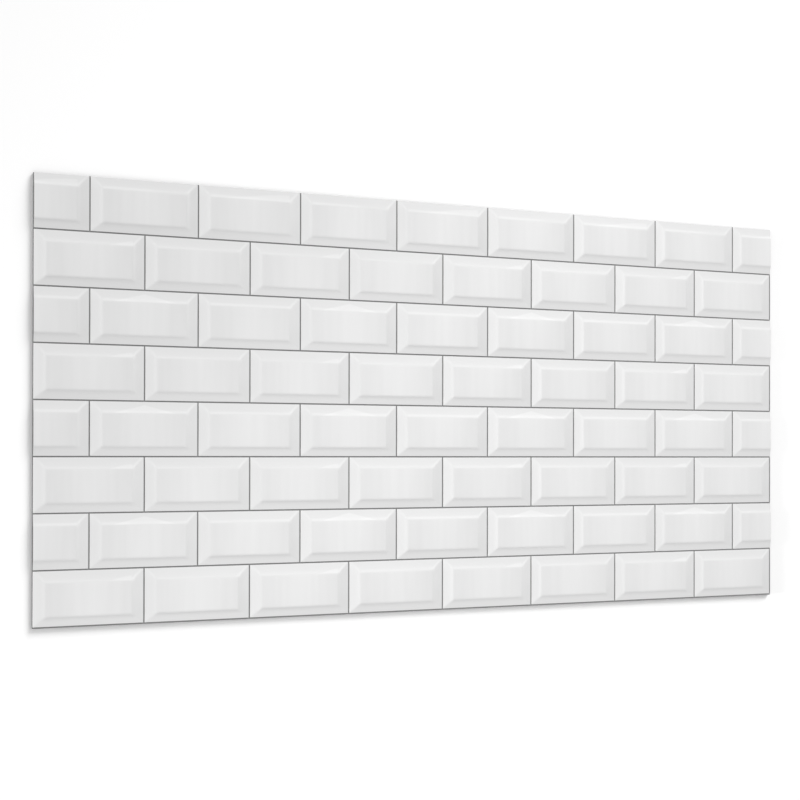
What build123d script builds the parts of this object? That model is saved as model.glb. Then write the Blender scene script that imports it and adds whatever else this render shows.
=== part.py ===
from build123d import *
import math
import os

# A rigid wall panel moulded in one piece. Its face copies a wall of bevelled
# metro tiles in running bond, and its flat back carries the adhesive.
# It lies on its back: X runs along the rows, +Y is the upper edge on the wall,
# +Z points out of the face, and the origin is the middle of the back.

# Tile
tile_length = 148.0
tile_height = 73.0
end_bevel = 16.0
upper_bevel = 15.5
lower_bevel = 12.5
bevel_rise = 2.0
bevel_hollow = 0.25
edge_round = 18.0

# Joint between the tiles, as wide as joint_width at the tiles' rims
joint_width = 2.0
joint_depth = 0.8
joint_draft = 15.0

# Panel
tiles_per_row = 8
row_count = 8
thickness = 8.0

# Pitches of the pattern and outline of the panel
pitch_x = tile_length + joint_width
pitch_y = tile_height + joint_width
panel_length = tiles_per_row * pitch_x
panel_height = row_count * pitch_y

# Levels above the back
rim_level = thickness - bevel_rise
joint_level = rim_level - joint_depth


def hollow_bevel(rim, field):
    """One bevel from the rim up to the field, a shallow arc that sags below its chord."""
    middle = ((rim + field) / 2, (rim_level + thickness) / 2 - bevel_hollow)
    return ThreePointArc((rim, rim_level), middle, (field, thickness))


def tile_section(width, first_bevel, last_bevel):
    """The tile cut across its width: joint walls, two hollow bevels and the flat field."""
    rim = width / 2
    foot = rim + joint_depth * math.tan(math.radians(joint_draft))
    first = first_bevel - rim
    last = rim - last_bevel
    base = Polyline((-rim, rim_level), (-foot, joint_level), (foot, joint_level), (rim, rim_level))
    top = Line((last, thickness), (first, thickness))
    return make_face([base, hollow_bevel(rim, last), top, hollow_bevel(-rim, first)])


def bevelled_tile():
    """One tile in relief: two crossed bars of its section, with the turns softened."""
    low_to_high = tile_section(tile_height, lower_bevel, upper_bevel)
    end_to_end = tile_section(tile_length, end_bevel, end_bevel)
    long_bar = extrude(Plane.YZ * low_to_high, pitch_x, both=True)
    cross_bar = extrude(Plane.XZ * end_to_end, pitch_y, both=True)
    blank = long_bar & cross_bar
    field_edges = blank.edges().group_by(Axis.Z)[-1]
    mitres = blank.edges().filter_by_position(Axis.Z, rim_level, thickness, (False, False))
    return fillet(field_edges + mitres, edge_round)


def tile_places():
    """Tile centres in running bond. Each tile has its joint to the right and below."""
    left = (tile_length - panel_length) / 2
    top = (panel_height - tile_height) / 2
    places = []
    for row in range(row_count):
        is_shifted = row % 2 == 0
        first = left - pitch_x / 2 if is_shifted else left
        count = tiles_per_row + 1 if is_shifted else tiles_per_row
        for column in range(count):
            places.append(Pos(first + column * pitch_x, top - row * pitch_y))
    return places


def tile_panel():
    """The whole panel, with the tiles that pass its ends cut through."""
    on_back = (Align.CENTER, Align.CENTER, Align.MIN)
    sheet = Box(panel_length, panel_height, joint_level, align=on_back)
    outline = Box(panel_length, panel_height, thickness, align=on_back)
    tile = bevelled_tile()
    relief = [place * tile for place in tile_places()]
    return (sheet + relief) & outline


os.makedirs("parts", exist_ok=True)
export_step(tile_panel(), "parts/tile_panel.step")
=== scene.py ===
import math

import bmesh
import bpy
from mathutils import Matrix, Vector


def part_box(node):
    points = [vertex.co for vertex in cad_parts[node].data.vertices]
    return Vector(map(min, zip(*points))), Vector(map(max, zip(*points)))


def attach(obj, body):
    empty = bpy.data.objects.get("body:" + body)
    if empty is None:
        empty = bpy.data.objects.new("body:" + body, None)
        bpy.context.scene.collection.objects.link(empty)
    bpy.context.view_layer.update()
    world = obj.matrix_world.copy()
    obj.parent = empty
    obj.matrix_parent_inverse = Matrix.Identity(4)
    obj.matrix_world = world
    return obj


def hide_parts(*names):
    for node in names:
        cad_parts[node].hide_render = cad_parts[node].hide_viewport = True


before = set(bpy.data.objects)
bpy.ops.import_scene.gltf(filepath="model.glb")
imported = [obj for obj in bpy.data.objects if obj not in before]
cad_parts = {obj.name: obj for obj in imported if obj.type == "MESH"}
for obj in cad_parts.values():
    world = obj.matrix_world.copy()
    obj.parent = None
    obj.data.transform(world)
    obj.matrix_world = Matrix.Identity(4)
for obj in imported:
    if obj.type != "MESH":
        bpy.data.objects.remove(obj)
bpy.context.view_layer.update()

# The panel lies on its back on a pale studio floor, which is white to the
# camera and in reflections, and keeps the panel's soft shadow.
floor_size = 8.0
floor_white = 0.95
floor_seen = 1.155


def add_node(tree, kind, *feeds, **options):
    """Adds a shader node, sets its options and feeds its inputs in order."""
    node = tree.nodes.new("ShaderNode" + kind)
    for option, value in options.items():
        setattr(node, option, value)
    for socket, feed in zip(node.inputs, feeds):
        if isinstance(feed, bpy.types.NodeSocket):
            tree.links.new(feed, socket)
        else:
            socket.default_value = feed
    return node


def value_of(tree, operation, *feeds):
    """The result of one Math node."""
    return add_node(tree, "Math", *feeds, operation=operation).outputs[0]


def seen_level(tree, plain, seen):
    """A level for all rays, and another for those that the camera and reflections see."""
    rays = add_node(tree, "LightPath").outputs
    mirrored = value_of(tree, "MAXIMUM", rays["Is Glossy Ray"], rays["Is Transmission Ray"])
    direct = value_of(tree, "MAXIMUM", rays["Is Camera Ray"], mirrored)
    return add_node(tree, "MapRange", direct, 0, 1, plain, seen).outputs["Result"]


bpy.ops.object.select_all(action="DESELECT")
bpy.ops.mesh.primitive_plane_add(size=floor_size, location=(0, 0, 0))
floor = bpy.context.object
floor.name = "studio_floor"
paint = bpy.data.materials.new("floor_paint")
paint.use_nodes = True
tree = paint.node_tree
tree.nodes.clear()
matte = add_node(tree, "BsdfDiffuse", seen_level(tree, floor_white, floor_seen))
add_node(tree, "OutputMaterial", matte.outputs[0])
floor.data.materials.append(paint)

# The moulded sheet: bevelled tiles in relief with grooved joints between them,
# pressed as one skin. One cell of the pattern is a tile with half a joint
# round it. Cells are laid past the ends in running bond and trimmed flush.
low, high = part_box("tile_panel")
panel_length = high.x - low.x
panel_height = high.y - low.y
thickness = high.z - low.z
tiles_per_row = 8
row_count = 8
pitch_x = panel_length / tiles_per_row
pitch_y = panel_height / row_count
cells_laid = tiles_per_row + 2
row_pairs_laid = row_count // 2 + 1
joint_width = 0.002
joint_depth = 0.0008
joint_draft = math.radians(15)
bevel_rise = 0.002
end_bevel = 0.016
upper_bevel = 0.0155
lower_bevel = 0.0125
bevel_runs = (0, 0.05, 0.40, 0.62, 0.80, 1)
even_share = 0.65
curl = 5
hip_round = 0.0020
hip_cuts = 2
turn_round = 0.0016
turn_cuts = 5
rim_round = 0.0003
rim_cuts = 3
face_cuts_x = 4
face_cuts_y = 2

tile_length = pitch_x - joint_width
tile_height = pitch_y - joint_width
rim_level = thickness - bevel_rise
joint_level = rim_level - joint_depth
wall_run = joint_depth * math.tan(joint_draft)
half_joint = joint_width / 2
close = 1e-5
trim_close = 1e-6
flat_normal = 0.9999


def pick(piece):
    """Makes one piece active, with nothing else selected."""
    bpy.ops.object.select_all(action="DESELECT")
    piece.select_set(True)
    bpy.context.view_layer.objects.active = piece


def to_edit(piece):
    """Opens one piece alone for editing."""
    pick(piece)
    bpy.ops.object.mode_set(mode="EDIT")
    bpy.ops.mesh.select_mode(type="EDGE")


def pick_edges(piece, wanted):
    """Selects just the edges that a test on the edge passes."""
    bpy.ops.mesh.select_all(action="DESELECT")
    mesh = bmesh.from_edit_mesh(piece.data)
    for edge in mesh.edges:
        edge.select = wanted(edge)
    mesh.select_flush_mode()
    bmesh.update_edit_mesh(piece.data)


def at_level(edge, level):
    """Whether an edge lies level at that height."""
    return all(abs(v.co.z - level) < close for v in edge.verts)


bpy.ops.object.select_all(action="DESELECT")
bpy.ops.mesh.primitive_grid_add(
    x_subdivisions=face_cuts_x, y_subdivisions=face_cuts_y, size=1, location=(0, 0, joint_level)
)
panel = bpy.context.object
panel.name = "moulded_panel"
panel.scale = (pitch_x, pitch_y, 1)
bpy.ops.object.transform_apply(location=True, rotation=False, scale=True)
to_edit(panel)
bpy.ops.mesh.select_mode(type="FACE")
bpy.ops.mesh.select_all(action="SELECT")
bpy.ops.mesh.inset(thickness=half_joint - wall_run)


def outline_at(run):
    """The tile's outline at a share of the bevels' run: its length, height, middle and level.

    Part of the rise is even along the run, and the rest curls up to the field.
    """
    length = tile_length - 2 * run * end_bevel
    height = tile_height - run * (upper_bevel + lower_bevel)
    middle = run * (lower_bevel - upper_bevel) / 2
    rise = even_share * run + (1 - even_share) * run ** curl
    return length, height, middle, rim_level + rise * bevel_rise


foot = (tile_length + 2 * wall_run, tile_height + 2 * wall_run, 0, joint_level)
outlines = [foot] + [outline_at(run) for run in bevel_runs]
for below, above in zip(outlines, outlines[1:]):
    step = (0, above[2] - below[2], above[3] - below[3])
    bpy.ops.mesh.extrude_region_move(TRANSFORM_OT_translate={"value": step})
    shrink = (above[0] / below[0], above[1] / below[1], 1)
    bpy.ops.transform.resize(value=shrink, center_override=(0, above[2], 0))


def is_corner(vertex):
    """Whether a vertex is a corner of one of the tile's outlines."""
    for length, height, middle, _ in outlines:
        at_end = abs(abs(vertex.co.x) - length / 2) < close
        if at_end and abs(abs(vertex.co.y - middle) - height / 2) < close:
            return True
    return False


def is_mitre(edge):
    """Whether an edge climbs a corner of the tile."""
    climbs = abs(edge.verts[0].co.z - edge.verts[1].co.z) > close
    return climbs and all(is_corner(v) for v in edge.verts)


def is_field_turn(edge):
    """Whether an edge is where the bevels turn into the flat field."""
    if not at_level(edge, thickness):
        return False
    return any(face.normal.z < flat_normal for face in edge.link_faces)


def is_rim(edge):
    """Whether an edge is where the bevels meet the walls of the joints."""
    return at_level(edge, rim_level)


pick_edges(panel, is_mitre)
bpy.ops.mesh.bevel(offset=hip_round, offset_type="OFFSET", segments=hip_cuts, profile=1, affect="EDGES")
pick_edges(panel, is_field_turn)
bpy.ops.mesh.bevel(offset=turn_round, offset_type="OFFSET", segments=turn_cuts, affect="EDGES")
pick_edges(panel, is_rim)
bpy.ops.mesh.bevel(offset=rim_round, offset_type="OFFSET", segments=rim_cuts, affect="EDGES")
bpy.ops.object.mode_set(mode="OBJECT")


def lay_in_rows(piece, step, count):
    """Repeats a piece at a constant step and welds the copies."""
    rows = piece.modifiers.new("rows", "ARRAY")
    rows.count = count
    rows.use_relative_offset = False
    rows.use_constant_offset = True
    rows.constant_offset_displace = step
    rows.use_merge_vertices = True
    rows.merge_threshold = close
    bpy.ops.object.modifier_apply(modifier=rows.name)


def shift_mesh(piece, step):
    """Moves a piece in the object frame and keeps its origin where it was."""
    pick(piece)
    bpy.ops.transform.translate(value=step)
    bpy.ops.object.transform_apply(location=True, rotation=False, scale=False)


lay_in_rows(panel, (pitch_x, 0, 0), cells_laid)
pick(panel)
bpy.ops.object.duplicate()
next_row = bpy.context.object
shift_mesh(next_row, (pitch_x / 2, -pitch_y, 0))
panel.select_set(True)
bpy.context.view_layer.objects.active = panel
bpy.ops.object.join()
lay_in_rows(panel, (0, -2 * pitch_y, 0), row_pairs_laid)
first_x = (tile_length - panel_length - pitch_x) / 2
first_y = (panel_height - tile_height) / 2
shift_mesh(panel, (first_x, first_y, 0))

to_edit(panel)
bpy.ops.mesh.select_all(action="SELECT")
bpy.ops.mesh.remove_doubles(threshold=close)
for edge_x, edge_y in ((-1, 0), (1, 0), (0, -1), (0, 1)):
    bpy.ops.mesh.select_all(action="SELECT")
    bpy.ops.mesh.bisect(
        plane_co=(edge_x * panel_length / 2, edge_y * panel_height / 2, 0),
        plane_no=(edge_x, edge_y, 0),
        clear_outer=True,
        threshold=trim_close,
    )
bpy.ops.mesh.select_all(action="DESELECT")
bpy.ops.mesh.select_non_manifold(extend=False, use_wire=False, use_multi_face=False,
                                 use_non_contiguous=False, use_verts=False)
bpy.ops.mesh.extrude_edges_move(TRANSFORM_OT_translate={"value": (0, 0, -joint_level)})
bpy.ops.transform.resize(value=(1, 1, 0), center_override=(0, 0, 0))
bpy.ops.mesh.edge_face_add()
bpy.ops.mesh.select_all(action="SELECT")
bpy.ops.mesh.normals_make_consistent(inside=False)
bpy.ops.object.mode_set(mode="OBJECT")

# The finishes of the sheet follow where a point lies on the panel and in its
# own tile, so that they stay true to the relief.


def product(tree, first, *others):
    """Several values multiplied together."""
    for other in others:
        first = value_of(tree, "MULTIPLY", first, other)
    return first


def ramp(tree, value, start, full):
    """A smooth step from 0, where the value is at its start, to 1, where it is full."""
    node = add_node(tree, "MapRange", value, start, full, interpolation_type="SMOOTHSTEP")
    return node.outputs["Result"]


def spot_on_panel(tree):
    """A point's place on the panel, whole and as its three coordinates."""
    point = add_node(tree, "TexCoord").outputs["Object"]
    return point, add_node(tree, "SeparateXYZ", point).outputs


def new_group(name, inputs, outputs):
    """An empty shader group with its sockets, and the nodes at its two ends."""
    tree = bpy.data.node_groups.new(name, "ShaderNodeTree")
    for label in inputs:
        tree.interface.new_socket(name=label, in_out="INPUT", socket_type="NodeSocketFloat")
    for label in outputs:
        tree.interface.new_socket(name=label, in_out="OUTPUT", socket_type="NodeSocketFloat")
    return tree, tree.nodes.new("NodeGroupInput"), tree.nodes.new("NodeGroupOutput")


# Where a point lies in its own tile: metres across and up from the tile's
# middle, its column and row, how far in from the rim, 1 at the field, and
# Endward, which is over 0 on the end bevels and under 0 on the other two.
place_labels = ("Across", "Up", "Column", "Row", "Inward", "Endward")
place, _, place_out = new_group("tile_place", (), place_labels)
_, spot = spot_on_panel(place)
down = value_of(place, "SUBTRACT", panel_height / 2, spot["Y"])
row = value_of(place, "FLOOR", value_of(place, "DIVIDE", down, pitch_y))
unshifted = value_of(place, "MODULO", row, 2)
row_shift = value_of(place, "MULTIPLY_ADD", unshifted, -pitch_x / 2, pitch_x / 2)
along = value_of(place, "ADD", value_of(place, "ADD", spot["X"], panel_length / 2), row_shift)
column = value_of(place, "FLOOR", value_of(place, "DIVIDE", along, pitch_x))
from_left = value_of(place, "MULTIPLY_ADD", column, -pitch_x, along)
across = value_of(place, "SUBTRACT", from_left, tile_length / 2)
from_top = value_of(place, "MULTIPLY_ADD", row, -pitch_y, down)
up = value_of(place, "SUBTRACT", tile_height / 2, from_top)
end_gap = value_of(place, "SUBTRACT", tile_length / 2, value_of(place, "ABSOLUTE", across))
end_in = value_of(place, "DIVIDE", end_gap, end_bevel)
upper_in = value_of(place, "DIVIDE", from_top, upper_bevel)
lower_in = value_of(place, "DIVIDE", value_of(place, "SUBTRACT", tile_height, from_top), lower_bevel)
side_in = value_of(place, "MINIMUM", upper_in, lower_in)
inward = value_of(place, "MINIMUM", end_in, side_in)
endward = value_of(place, "SUBTRACT", side_in, end_in)
for label, value in zip(place_labels, (across, up, column, row, inward, endward)):
    place.links.new(value, place_out.inputs[label])

# Noise with a grain size of its own along each coordinate. Its tone runs
# evenly above and below 0, and its height runs from 0 to 1.
grain_labels = ("X", "Y", "Z", "Grain X", "Grain Y", "Grain Z", "Detail")
grain, grain_in, grain_out = new_group("grain", grain_labels, ("Tone", "Height"))
parts = []
for axis in "XYZ":
    parts.append(value_of(grain, "DIVIDE", grain_in.outputs[axis], grain_in.outputs["Grain " + axis]))
cloud = add_node(grain, "TexNoise", add_node(grain, "CombineXYZ", *parts).outputs[0])
cloud.inputs["Scale"].default_value = 1
grain.links.new(grain_in.outputs["Detail"], cloud.inputs["Detail"])
centred = value_of(grain, "MULTIPLY_ADD", cloud.outputs["Fac"], 2, -1)
grain.links.new(centred, grain_out.inputs["Tone"])
grain.links.new(cloud.outputs["Fac"], grain_out.inputs["Height"])


def use_group(tree, group):
    """Places a shader group in a material."""
    node = tree.nodes.new("ShaderNodeGroup")
    node.node_tree = group
    return node


def use_grain(tree, spot, sizes, detail):
    """Places the grain at three coordinates, with its size along each of them."""
    node = use_group(tree, grain)
    for axis, value, size in zip("XYZ", spot, sizes):
        tree.links.new(value, node.inputs[axis])
        node.inputs["Grain " + axis].default_value = size
    node.inputs["Detail"].default_value = detail
    return node.outputs


def new_material(name):
    """A material with its tree and its principled shader."""
    material = bpy.data.materials.new(name)
    material.use_nodes = True
    return material, material.node_tree, material.node_tree.nodes["Principled BSDF"]


def finish_skin(tree, shader, colour, tone, roughness, height, depth):
    """Feeds a skin's colour times its tone, its roughness, and its bump of that depth."""
    shade = add_node(tree, "VectorMath", colour, operation="SCALE")
    tree.links.new(tone, shade.inputs["Scale"])
    tree.links.new(shade.outputs[0], shader.inputs["Base Color"])
    tree.links.new(roughness, shader.inputs["Roughness"])
    bump = add_node(tree, "Bump")
    bump.inputs["Strength"].default_value = 1
    bump.inputs["Distance"].default_value = depth
    tree.links.new(height, bump.inputs["Height"])
    tree.links.new(bump.outputs["Normal"], shader.inputs["Normal"])


# The tiles' face: a glossy white skin like fired glaze. Each field carries a
# painted highlight that makes it a touch lighter towards its middle, is faintly
# streaked from top to bottom, and each tile differs a little from the next.
glaze_white = (0.80, 0.80, 0.80)
glaze_index = 1.5
field_start = 0.92
field_full = 1.12
field_highlight = 0.055
tile_tone = 0.004
streak_width = 0.011
streak_length = tile_height * 2
streak_tone = 0.032
row_stride = 17
serial_grain = 0.1
field_side = tile_length / 2 - end_bevel
field_top = tile_height / 2 - upper_bevel
field_foot = lower_bevel - tile_height / 2

glaze, tree, shader = new_material("white_glaze")
shader.inputs["IOR"].default_value = glaze_index
tile = use_group(tree, place).outputs
serial = value_of(tree, "MULTIPLY_ADD", tile["Row"], row_stride, tile["Column"])
in_field = ramp(tree, tile["Inward"], field_start, field_full)
on_bevel = value_of(tree, "SUBTRACT", 1, in_field)
aside = value_of(tree, "ABSOLUTE", tile["Across"])
# Painted highlight: each field is lighter towards its middle.
middle_painted_highlight = product(tree, ramp(tree, aside, field_side, 0), in_field, field_highlight)
in_tile = (tile["Across"], tile["Up"], serial)
streak = use_grain(tree, in_tile, (streak_width, streak_length, serial_grain), 1)
streaks = product(tree, streak["Tone"], in_field, streak_tone)
lot = add_node(tree, "TexWhiteNoise", noise_dimensions="1D")
tree.links.new(serial, lot.inputs["W"])
own_tone = value_of(tree, "MULTIPLY_ADD", lot.outputs["Value"], 2 * tile_tone, -tile_tone)

# Painted highlights on the inner edge of the top bevel: a light line along the
# field, and on every second tile a painted wedge of light over the middle or at
# the right corner. The top row's wedge is longer. Its line, and the thin one of
# every second row, lie only on the left.
line_glow = 0.040
line_height = 0.0042
line_start = -0.0006
line_full = 0.0012
line_left = 0.035
thin_glow = 0.025
thin_height = 0.0026
thin_least = 0.6
central_glow = 0.068
central_height = 0.0115
central_reach = 0.046
central_gap = (0.010, 0.035)
corner_glow = 0.055
corner_height = 0.0070
corner_start = 0.018
top_glow = 0.050
top_height = 0.0105
top_start = -0.060
wedge_start = -0.0008
wedge_full = 0.0016
end_blur = 0.002

above_field = value_of(tree, "SUBTRACT", tile["Up"], field_top)
odd_column = value_of(tree, "MODULO", tile["Column"], 2)
even_column = value_of(tree, "SUBTRACT", 1, odd_column)
top_row = value_of(tree, "LESS_THAN", tile["Row"], 0.5)
odd_row = value_of(tree, "MODULO", tile["Row"], 2)
even_row = value_of(tree, "SUBTRACT", value_of(tree, "SUBTRACT", 1, odd_row), top_row)
off_field = ramp(tree, above_field, line_start, line_full)
off_ends = ramp(tree, value_of(tree, "SUBTRACT", field_side, aside), -end_blur, end_blur)


def painted_highlight_wedge(height, glow, *chosen):
    """The painted highlight of a wedge of a given height above the field, on the tiles chosen."""
    inside = ramp(tree, value_of(tree, "SUBTRACT", height, above_field), wedge_start, wedge_full)
    return product(tree, off_field, off_ends, inside, *chosen, glow)


to_middle = value_of(tree, "SUBTRACT", 1, value_of(tree, "DIVIDE", aside, central_reach))
to_right = ramp(tree, tile["Across"], corner_start, field_side)
to_top_right = ramp(tree, tile["Across"], top_start, field_side)
left_part = ramp(tree, tile["Across"], line_left, 0)
beside_wedge = value_of(tree, "MAXIMUM", even_column, ramp(tree, aside, *central_gap))
thin_share = value_of(tree, "MULTIPLY_ADD", odd_column, 1 - thin_least, thin_least)
central = painted_highlight_wedge(product(tree, to_middle, central_height), central_glow, even_row, odd_column)
corner = painted_highlight_wedge(product(tree, to_right, corner_height), corner_glow, odd_row, even_column)
top_corner = painted_highlight_wedge(product(tree, to_top_right, top_height), top_glow, top_row, even_column)
top_line = painted_highlight_wedge(line_height, line_glow, top_row, left_part)
line = painted_highlight_wedge(line_height, line_glow, even_row, beside_wedge)
thin_line = painted_highlight_wedge(thin_height, thin_glow, odd_row, left_part, thin_share)

# Painted highlights on the hips: a soft light line up both upper ones, brighter
# on the right and fading to half at the rim, and a painted glint past the field's upper right corner.
left_hip_glow = 0.050
right_hip_glow = 0.085
hip_width = 0.0045
hip_shift = 0.0016
hip_start = 0.004
hip_fade = 0.8
half_blur = 0.01
spot_glow = 0.050
spot_reach = 0.0055
spot_shift = 0.0017
hip_slope = upper_bevel / end_bevel
hip_level = tile_height / 2 - hip_slope * tile_length / 2

hip_gap = value_of(tree, "MULTIPLY_ADD", aside, -hip_slope, tile["Up"])
off_hip = value_of(tree, "ABSOLUTE", value_of(tree, "SUBTRACT", hip_gap, hip_level + hip_shift))
on_hip = product(tree, ramp(tree, off_hip, hip_width, 0), on_bevel)
past_field = ramp(tree, aside, field_side, field_side + hip_start)
near_field = ramp(tree, tile["Inward"], -hip_fade, hip_fade)
right_half = ramp(tree, tile["Across"], -half_blur, half_blur)
hip_glow = value_of(tree, "MULTIPLY_ADD", right_half, right_hip_glow - left_hip_glow, left_hip_glow)
painted_hip_highlights = product(tree, on_hip, past_field, near_field, hip_glow)
spot_x = value_of(tree, "SUBTRACT", tile["Across"], field_side + spot_shift)
spot_y = value_of(tree, "SUBTRACT", above_field, spot_shift)
spot_far = add_node(tree, "CombineXYZ", spot_x, spot_y).outputs[0]
spot_away = add_node(tree, "VectorMath", spot_far, operation="LENGTH").outputs["Value"]
painted_corner_glint = product(tree, ramp(tree, spot_away, spot_reach, 0), spot_glow)

# The end bevels: a painted highlight makes the left one lighter towards its rim,
# and painted shade darkens the right one downwards.
rim_glow = 0.045
shade_depth = 0.035
shade_start = 0.012
shade_full = -0.026
end_start = -0.1
end_full = 0.15

on_end = product(tree, ramp(tree, tile["Endward"], end_start, end_full), on_bevel)
right_bevel = product(tree, on_end, right_half)
left_bevel = value_of(tree, "SUBTRACT", on_end, right_bevel)
left_painted_highlight = product(tree, left_bevel, ramp(tree, tile["Inward"], 1, 0), rim_glow)
right_painted_shade = product(tree, right_bevel, ramp(tree, tile["Up"], shade_start, shade_full), -shade_depth)

# Painted shade: the greyer turn from the field into the lower bevel, which ends at the hips.
foot_depth = 0.045
foot_reach = 0.0035
foot_past = 0.002
foot_short = 0.004

foot_gap = value_of(tree, "ABSOLUTE", value_of(tree, "SUBTRACT", tile["Up"], field_foot))
near_foot = ramp(tree, foot_gap, foot_reach, 0)
foot_end = ramp(tree, aside, field_side + foot_past, field_side - foot_short)
foot_painted_shade = product(tree, near_foot, foot_end, -foot_depth)

# The gloss varies in soft patches. The bevels are rippled along their length,
# and all of the glaze has a very shallow orange peel.
glaze_rough = 0.22
patch_rough = 0.06
patch_size = 0.03
ripple_run = 0.30
ripple_length = 0.035
ripple_height = 0.000012
peel_size = 0.003
peel_height = 0.000003

# The glaze's tone: its own streaks and tile tones, with the painted highlights and painted shades
# above.
tone = value_of(tree, "ADD", middle_painted_highlight, 1)
for share in (streaks, own_tone, central, corner, top_corner, top_line, line, thin_line,
              painted_hip_highlights, painted_corner_glint, left_painted_highlight, right_painted_shade, foot_painted_shade):
    tone = value_of(tree, "ADD", tone, share)
patch = use_grain(tree, in_tile, (patch_size, patch_size, serial_grain), 1)
roughness = value_of(tree, "MULTIPLY_ADD", patch["Tone"], patch_rough, glaze_rough)
on_slope = (tile["Inward"], tile["Across"], tile["Up"])
ripple = use_grain(tree, on_slope, (ripple_run, ripple_length, ripple_length), 2)
ripples = product(tree, ripple["Height"], on_bevel, ripple_height)
peel = use_grain(tree, in_tile, (peel_size, peel_size, serial_grain), 1)
height = value_of(tree, "MULTIPLY_ADD", peel["Height"], peel_height, ripples)
finish_skin(tree, shader, glaze_white, tone, roughness, height, 1)
panel.data.materials.append(glaze)

# The joints: the same skin left matt and dark grey, with a sandy grain and
# faint smudges. Painted light makes the upright ones a touch lighter than the lying ones.
joint_grey = (0.245, 0.245, 0.245)
joint_rough = 0.75
upright_painted_light = 0.15
sand_size = 0.0005
sand_height = 0.00004
sand_tone = 0.18
sand_rough = 0.1
smudge_size = 0.04
smudge_tone = 0.06

joint, tree, shader = new_material("grey_joint")
_, spot = spot_on_panel(tree)
sand = use_grain(tree, spot, (sand_size, sand_size, sand_size), 3)
smudge = use_grain(tree, spot, (smudge_size, smudge_size, smudge_size), 2)
tile = use_group(tree, place).outputs
upright = value_of(tree, "GREATER_THAN", tile["Across"], tile_length / 2)
tone = value_of(tree, "MULTIPLY_ADD", sand["Tone"], sand_tone, 1)
tone = value_of(tree, "MULTIPLY_ADD", smudge["Tone"], smudge_tone, tone)
# Painted light: the upright joints are lighter.
tone = value_of(tree, "MULTIPLY_ADD", upright, upright_painted_light, tone)
roughness = value_of(tree, "MULTIPLY_ADD", sand["Tone"], sand_rough, joint_rough)
finish_skin(tree, shader, joint_grey, tone, roughness, sand["Height"], sand_height)
panel.data.materials.append(joint)

# The sawn edges: bare grey foamed plastic with fine closed cells, and the
# faint marks of the saw from face to back.
foam_grey = (0.12, 0.12, 0.12)
foam_tone = 0.90
foam_rough = 0.8
cell_size = 0.0006
cell_blend = 0.4
cell_start = 0.15
cell_full = 0.75
cell_tone = 0.16
cell_rough = -0.1
cell_depth = 0.00008
saw_pitch = 0.0011
saw_length = thickness * 3
saw_tone = 0.10
saw_share = 0.7

foam, tree, shader = new_material("foam_edge")
point, spot = spot_on_panel(tree)
cells = add_node(tree, "TexVoronoi", point, feature="SMOOTH_F1")
cells.inputs["Scale"].default_value = 1 / cell_size
cells.inputs["Smoothness"].default_value = cell_blend
pits = ramp(tree, cells.outputs["Distance"], cell_start, cell_full)
saw = use_grain(tree, spot, (saw_pitch, saw_pitch, saw_length), 2)
tone = value_of(tree, "MULTIPLY_ADD", pits, cell_tone, foam_tone)
tone = value_of(tree, "MULTIPLY_ADD", saw["Tone"], saw_tone, tone)
roughness = value_of(tree, "MULTIPLY_ADD", pits, cell_rough, foam_rough)
height = value_of(tree, "MULTIPLY_ADD", saw["Height"], saw_share, pits)
finish_skin(tree, shader, foam_grey, tone, roughness, height, cell_depth)
panel.data.materials.append(foam)

# The back: smooth pale release paper over the adhesive, with soft clouds and
# short fibres, and nothing printed on it.
paper_buff = (0.72, 0.68, 0.58)
paper_rough = 0.42
fibre_length = 0.004
fibre_width = 0.0005
fibre_tone = 0.05
fibre_height = 0.00001
haze_size = 0.05
haze_tone = 0.06
haze_rough = 0.08

paper, tree, shader = new_material("release_paper")
_, spot = spot_on_panel(tree)
fibre = use_grain(tree, spot, (fibre_length, fibre_width, fibre_length), 3)
cross = use_grain(tree, spot, (fibre_width, fibre_length, fibre_length), 3)
haze = use_grain(tree, spot, (haze_size, haze_size, haze_size), 3)
weave = value_of(tree, "ADD", fibre["Tone"], cross["Tone"])
tone = value_of(tree, "MULTIPLY_ADD", weave, fibre_tone, 1)
tone = value_of(tree, "MULTIPLY_ADD", haze["Tone"], haze_tone, tone)
roughness = value_of(tree, "MULTIPLY_ADD", haze["Tone"], haze_rough, paper_rough)
finish_skin(tree, shader, paper_buff, tone, roughness, weave, fibre_height)
panel.data.materials.append(paper)

# Each face of the sheet gets its finish by where it lies, and the rounded
# turns are shaded smooth.
back_normal = -0.9
side_normal = 0.1
smooth_angle = math.radians(35)


def is_back(face):
    """Whether a face is the flat back."""
    return face.normal.z < back_normal


def is_side(face):
    """Whether a face is part of the sawn edges."""
    centre = face.calc_center_median()
    at_end = abs(abs(centre.x) - panel_length / 2) < close
    at_edge = abs(abs(centre.y) - panel_height / 2) < close
    return abs(face.normal.z) < side_normal and (at_end or at_edge)


def is_joint(face):
    """Whether a face is a wall or the floor of a joint, below the tiles' rims."""
    is_low = face.calc_center_median().z < rim_level - rim_round
    return is_low and not is_side(face) and not is_back(face)


to_edit(panel)
bpy.ops.mesh.select_mode(type="FACE")
for slot, wanted in ((1, is_joint), (2, is_side), (3, is_back)):
    bpy.ops.mesh.select_all(action="DESELECT")
    mesh = bmesh.from_edit_mesh(panel.data)
    for face in mesh.faces:
        face.select = wanted(face)
    bmesh.update_edit_mesh(panel.data)
    panel.active_material_index = slot
    bpy.ops.object.material_slot_assign()
bpy.ops.object.mode_set(mode="OBJECT")
bpy.ops.object.shade_smooth_by_angle(angle=smooth_angle)
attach(panel, "root")
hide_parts("tile_panel")

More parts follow.
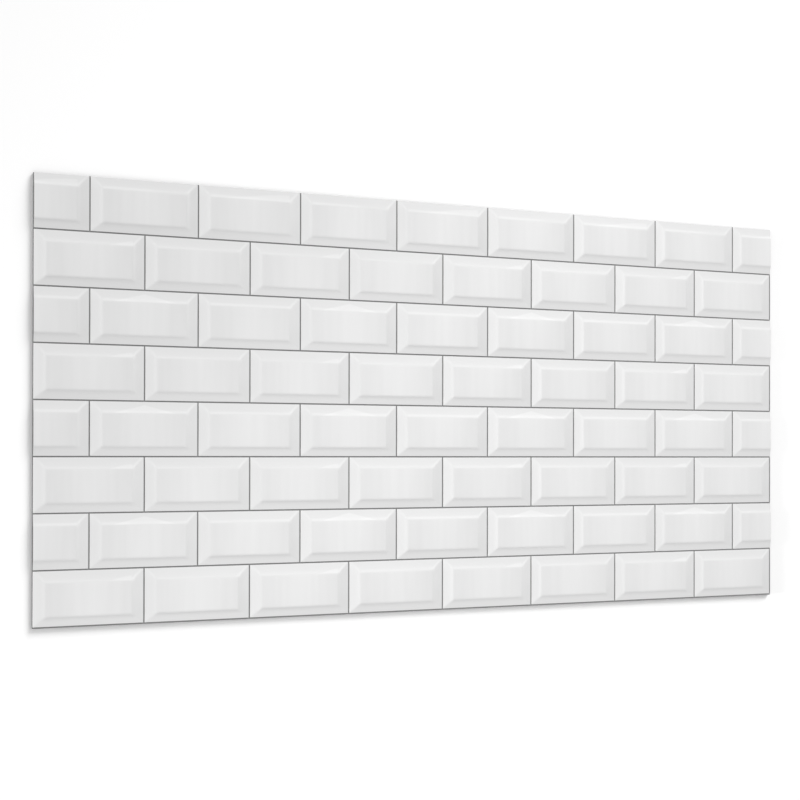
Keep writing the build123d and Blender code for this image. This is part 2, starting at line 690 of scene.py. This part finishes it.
# Two broad windows light the panel, one past its upper right corner and a
# lower one beyond its left end. The glaze mirrors the pale room and not the
# windows, whose glare would clip to white.
windows = (("upper_window", 55, 64, 35, 0.713), ("left_window", 180, 83.5, 12, 0.90))

for name, bearing, zenith, spread, strength in windows:
    data = bpy.data.lights.new(name, "SUN")
    data.energy = strength * math.pi
    data.angle = math.radians(spread)
    window = bpy.data.objects.new(name, data)
    window.rotation_euler = (math.radians(zenith), 0, math.radians(bearing + 90))
    window.visible_glossy = False
    bpy.context.scene.collection.objects.link(window)

# A long strip softbox hangs a metre over the panel, right of its middle. It is
# turned, so that the upper left corner is the dimmest.
softbox_size = (0.5, 3.0)
softbox_place = (0.24, 0, 1.0)
softbox_turn = math.radians(-35)
softbox_power = 4.34

data = bpy.data.lights.new("softbox", "AREA")
data.shape = "RECTANGLE"
data.size, data.size_y = softbox_size
data.energy = softbox_power
softbox = bpy.data.objects.new("softbox", data)
softbox.location = softbox_place
softbox.rotation_euler = (0, 0, softbox_turn)
bpy.context.scene.collection.objects.link(softbox)

# The room gives an even dim light, and looks white to the camera and in
# reflections.
room_light = 0.364
room_seen = 1

world = bpy.data.worlds.new("room")
bpy.context.scene.world = world
world.use_nodes = True
tree = world.node_tree
sky = tree.nodes["Background"]
sky.inputs["Color"].default_value = (1, 1, 1, 1)
tree.links.new(seen_level(tree, room_light, room_seen), sky.inputs["Strength"])

# The camera hangs two metres over the floor, past the panel's left end, and
# is turned towards the right, as in the photograph.
sensor_width = 36
lens_length = 67.64
frame_shift = (-0.0003, 0.0538)
camera_place = (-0.98784, -0.06876, 1.99694)
camera_turn = (0.390, -24.750, 0.097)

camera_data = bpy.data.cameras.new("camera")
camera_data.sensor_width = sensor_width
camera_data.lens = lens_length
camera_data.shift_x, camera_data.shift_y = frame_shift
camera = bpy.data.objects.new("camera", camera_data)
camera.rotation_mode = "ZXY"
camera.location = camera_place
camera.rotation_euler = [math.radians(turn) for turn in camera_turn]
bpy.context.scene.collection.objects.link(camera)
bpy.context.scene.camera = camera

bpy.context.scene.view_settings.view_transform = "Standard"
